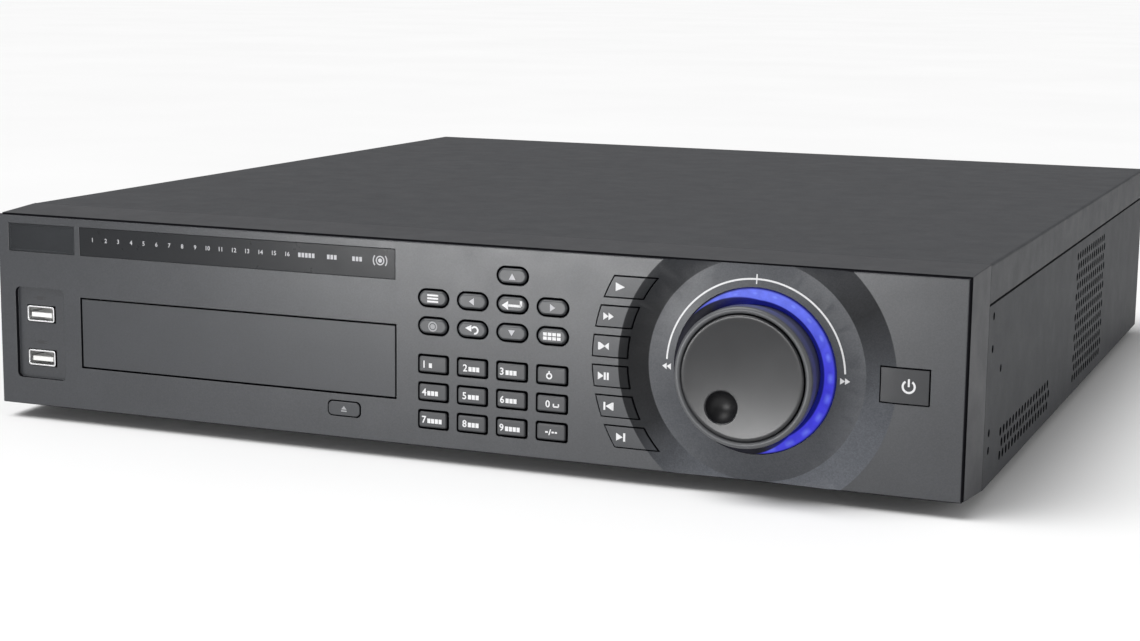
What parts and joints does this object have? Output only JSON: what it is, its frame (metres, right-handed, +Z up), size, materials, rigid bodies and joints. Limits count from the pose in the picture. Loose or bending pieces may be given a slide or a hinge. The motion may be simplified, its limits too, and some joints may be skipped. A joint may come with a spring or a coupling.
{
  "type": "dvr recorder",
  "caption": "Rack-width digital video recorder: steel case, keypad, jog and shuttle dial with lit ring, sliding disc tray, front serial sockets and rear video sockets.",
  "frame": {"origin": "on the surface it stands on, below the middle of the whole recorder", "axes": "+Z up, front towards -Y, +Y along the depth to the rear sockets, +X to the right seen from the front"},
  "size_m": [0.44, 0.49, 0.094],
  "materials": {
    "painted_steel": "fine textured satin paint",
    "lid_steel": "fine textured satin paint",
    "bezel_plastic": "fine matt spark-eroded texture",
    "plate_plastic": "fine metallic satin paint",
    "key_plastic": "satin",
    "window_acrylic": "smoked, semi gloss",
    "badge_metal": "brushed, dark",
    "socket_steel": "bright plated",
    "light_guide": "frosted, lit blue",
    "board_green": "solder resist",
    "encoder_metal": "turned",
    "heatsink_aluminium": "extruded, satin",
    "zinc_steel": "zinc plated sheet",
    "drive_case": "cast, matt",
    "black_plastic": "fine matt",
    "nickel": "nickel plated",
    "terminal_green": "satin",
    "screw_steel": "plated",
    "rubber": "matt",
    "jog_metal": "fine spun, satin",
    "shuttle_plastic": "satin",
    "tray_plastic": "fine matt",
    "door_plastic": "fine metallic satin paint"
  },
  "bodies": {
    "case": {"chassis_base": "painted_steel", "top_cover": "lid_steel", "bezel_frame": "bezel_plastic", "front_plate": "plate_plastic", "indicator_window": "window_acrylic", "badge_plate": "badge_metal", "usb_sockets": "socket_steel", "light_ring": "light_guide", "front_board": "board_green", "jog_encoder": "encoder_metal", "main_board": "board_green", "heatsink": "heatsink_aluminium", "drive_cage": "zinc_steel", "hard_drives": "drive_case", "optical_drive": "zinc_steel", "power_supply": "zinc_steel", "mains_inlet": "black_plastic", "switch_housing": "black_plastic", "bnc_sockets": "nickel", "rear_ports": "nickel", "terminal_block": "terminal_green", "fan_frames": "black_plastic", "screws": "screw_steel", "feet": "rubber"},
    "jog_disc": {"jog_disc": "jog_metal"},
    "shuttle_ring": {"shuttle_ring": "shuttle_plastic"},
    "disc_tray": {"disc_tray": "tray_plastic", "tray_door": "door_plastic"},
    "mains_rocker": {"mains_rocker": "black_plastic"},
    "left_fan_rotor": {"left_fan_rotor": "black_plastic"},
    "right_fan_rotor": {"right_fan_rotor": "black_plastic"},
    "key_up": {"key_up": "key_plastic"},
    "key_function": {"key_function": "key_plastic"},
    "key_left": {"key_left": "key_plastic"},
    "key_enter": {"key_enter": "key_plastic"},
    "key_right": {"key_right": "key_plastic"},
    "key_record": {"key_record": "key_plastic"},
    "key_escape": {"key_escape": "key_plastic"},
    "key_down": {"key_down": "key_plastic"},
    "key_multi": {"key_multi": "key_plastic"},
    "digit_key_1": {"digit_key_1": "key_plastic"},
    "digit_key_2": {"digit_key_2": "key_plastic"},
    "digit_key_3": {"digit_key_3": "key_plastic"},
    "digit_key_input": {"digit_key_input": "key_plastic"},
    "digit_key_4": {"digit_key_4": "key_plastic"},
    "digit_key_5": {"digit_key_5": "key_plastic"},
    "digit_key_6": {"digit_key_6": "key_plastic"},
    "digit_key_0": {"digit_key_0": "key_plastic"},
    "digit_key_7": {"digit_key_7": "key_plastic"},
    "digit_key_8": {"digit_key_8": "key_plastic"},
    "digit_key_9": {"digit_key_9": "key_plastic"},
    "digit_key_dash": {"digit_key_dash": "key_plastic"},
    "transport_key_play": {"transport_key_play": "key_plastic"},
    "transport_key_fast": {"transport_key_fast": "key_plastic"},
    "transport_key_slow": {"transport_key_slow": "key_plastic"},
    "transport_key_pause": {"transport_key_pause": "key_plastic"},
    "transport_key_previous": {"transport_key_previous": "key_plastic"},
    "transport_key_next": {"transport_key_next": "key_plastic"},
    "eject_key": {"eject_key": "key_plastic"},
    "power_key": {"power_key": "key_plastic"}
  },
  "joints": [
    {"name": "jog_spin", "type": "hinge", "parent": "case", "child": "jog_disc", "pos_m": [0.1358, -0.229, 0.0505], "axis": [0, -1, 0], "continuous": true},
    {"name": "shuttle_twist", "type": "hinge", "parent": "case", "child": "shuttle_ring", "pos_m": [0.1358, -0.229, 0.0505], "axis": [0, -1, 0], "range_deg": [-70, 70], "stiffness_Nm_per_rad": 0.03},
    {"name": "disc_tray_slide", "type": "slide", "parent": "case", "child": "disc_tray", "axis": [0, -1, 0], "range_m": [0, 0.14]},
    {"name": "mains_rocker_tilt", "type": "hinge", "parent": "case", "child": "mains_rocker", "pos_m": [0.201, 0.23, 0.065], "axis": [1, 0, 0], "range_deg": [-20, 0]},
    {"name": "left_fan_spin", "type": "hinge", "parent": "case", "child": "left_fan_rotor", "pos_m": [0.004, 0.221, 0.0495], "axis": [0, 1, 0], "continuous": true},
    {"name": "right_fan_spin", "type": "hinge", "parent": "case", "child": "right_fan_rotor", "pos_m": [0.07, 0.221, 0.0495], "axis": [0, 1, 0], "continuous": true},
    {"name": "key_up_press", "type": "slide", "parent": "case", "child": "key_up", "axis": [0, 1, 0], "range_m": [0, 0.0009], "stiffness_N_per_m": 600},
    {"name": "key_function_press", "type": "slide", "parent": "case", "child": "key_function", "axis": [0, 1, 0], "range_m": [0, 0.0009], "stiffness_N_per_m": 600},
    {"name": "key_left_press", "type": "slide", "parent": "case", "child": "key_left", "axis": [0, 1, 0], "range_m": [0, 0.0009], "stiffness_N_per_m": 600},
    {"name": "key_enter_press", "type": "slide", "parent": "case", "child": "key_enter", "axis": [0, 1, 0], "range_m": [0, 0.0009], "stiffness_N_per_m": 600},
    {"name": "key_right_press", "type": "slide", "parent": "case", "child": "key_right", "axis": [0, 1, 0], "range_m": [0, 0.0009], "stiffness_N_per_m": 600},
    {"name": "key_record_press", "type": "slide", "parent": "case", "child": "key_record", "axis": [0, 1, 0], "range_m": [0, 0.0009], "stiffness_N_per_m": 600},
    {"name": "key_escape_press", "type": "slide", "parent": "case", "child": "key_escape", "axis": [0, 1, 0], "range_m": [0, 0.0009], "stiffness_N_per_m": 600},
    {"name": "key_down_press", "type": "slide", "parent": "case", "child": "key_down", "axis": [0, 1, 0], "range_m": [0, 0.0009], "stiffness_N_per_m": 600},
    {"name": "key_multi_press", "type": "slide", "parent": "case", "child": "key_multi", "axis": [0, 1, 0], "range_m": [0, 0.0009], "stiffness_N_per_m": 600},
    {"name": "digit_key_1_press", "type": "slide", "parent": "case", "child": "digit_key_1", "axis": [0, 1, 0], "range_m": [0, 0.0009], "stiffness_N_per_m": 600},
    {"name": "digit_key_2_press", "type": "slide", "parent": "case", "child": "digit_key_2", "axis": [0, 1, 0], "range_m": [0, 0.0009], "stiffness_N_per_m": 600},
    {"name": "digit_key_3_press", "type": "slide", "parent": "case", "child": "digit_key_3", "axis": [0, 1, 0], "range_m": [0, 0.0009], "stiffness_N_per_m": 600},
    {"name": "digit_key_input_press", "type": "slide", "parent": "case", "child": "digit_key_input", "axis": [0, 1, 0], "range_m": [0, 0.0009], "stiffness_N_per_m": 600},
    {"name": "digit_key_4_press", "type": "slide", "parent": "case", "child": "digit_key_4", "axis": [0, 1, 0], "range_m": [0, 0.0009], "stiffness_N_per_m": 600},
    {"name": "digit_key_5_press", "type": "slide", "parent": "case", "child": "digit_key_5", "axis": [0, 1, 0], "range_m": [0, 0.0009], "stiffness_N_per_m": 600},
    {"name": "digit_key_6_press", "type": "slide", "parent": "case", "child": "digit_key_6", "axis": [0, 1, 0], "range_m": [0, 0.0009], "stiffness_N_per_m": 600},
    {"name": "digit_key_0_press", "type": "slide", "parent": "case", "child": "digit_key_0", "axis": [0, 1, 0], "range_m": [0, 0.0009], "stiffness_N_per_m": 600},
    {"name": "digit_key_7_press", "type": "slide", "parent": "case", "child": "digit_key_7", "axis": [0, 1, 0], "range_m": [0, 0.0009], "stiffness_N_per_m": 600},
    {"name": "digit_key_8_press", "type": "slide", "parent": "case", "child": "digit_key_8", "axis": [0, 1, 0], "range_m": [0, 0.0009], "stiffness_N_per_m": 600},
    {"name": "digit_key_9_press", "type": "slide", "parent": "case", "child": "digit_key_9", "axis": [0, 1, 0], "range_m": [0, 0.0009], "stiffness_N_per_m": 600},
    {"name": "digit_key_dash_press", "type": "slide", "parent": "case", "child": "digit_key_dash", "axis": [0, 1, 0], "range_m": [0, 0.0009], "stiffness_N_per_m": 600},
    {"name": "transport_key_play_press", "type": "slide", "parent": "case", "child": "transport_key_play", "axis": [0, 1, 0], "range_m": [0, 0.0009], "stiffness_N_per_m": 600},
    {"name": "transport_key_fast_press", "type": "slide", "parent": "case", "child": "transport_key_fast", "axis": [0, 1, 0], "range_m": [0, 0.0009], "stiffness_N_per_m": 600},
    {"name": "transport_key_slow_press", "type": "slide", "parent": "case", "child": "transport_key_slow", "axis": [0, 1, 0], "range_m": [0, 0.0009], "stiffness_N_per_m": 600},
    {"name": "transport_key_pause_press", "type": "slide", "parent": "case", "child": "transport_key_pause", "axis": [0, 1, 0], "range_m": [0, 0.0009], "stiffness_N_per_m": 600},
    {"name": "transport_key_previous_press", "type": "slide", "parent": "case", "child": "transport_key_previous", "axis": [0, 1, 0], "range_m": [0, 0.0009], "stiffness_N_per_m": 600},
    {"name": "transport_key_next_press", "type": "slide", "parent": "case", "child": "transport_key_next", "axis": [0, 1, 0], "range_m": [0, 0.0009], "stiffness_N_per_m": 600},
    {"name": "eject_key_press", "type": "slide", "parent": "case", "child": "eject_key", "axis": [0, 1, 0], "range_m": [0, 0.0009], "stiffness_N_per_m": 600},
    {"name": "power_key_press", "type": "slide", "parent": "case", "child": "power_key", "axis": [0, 1, 0], "range_m": [0, 0.0009], "stiffness_N_per_m": 600}
  ]
}
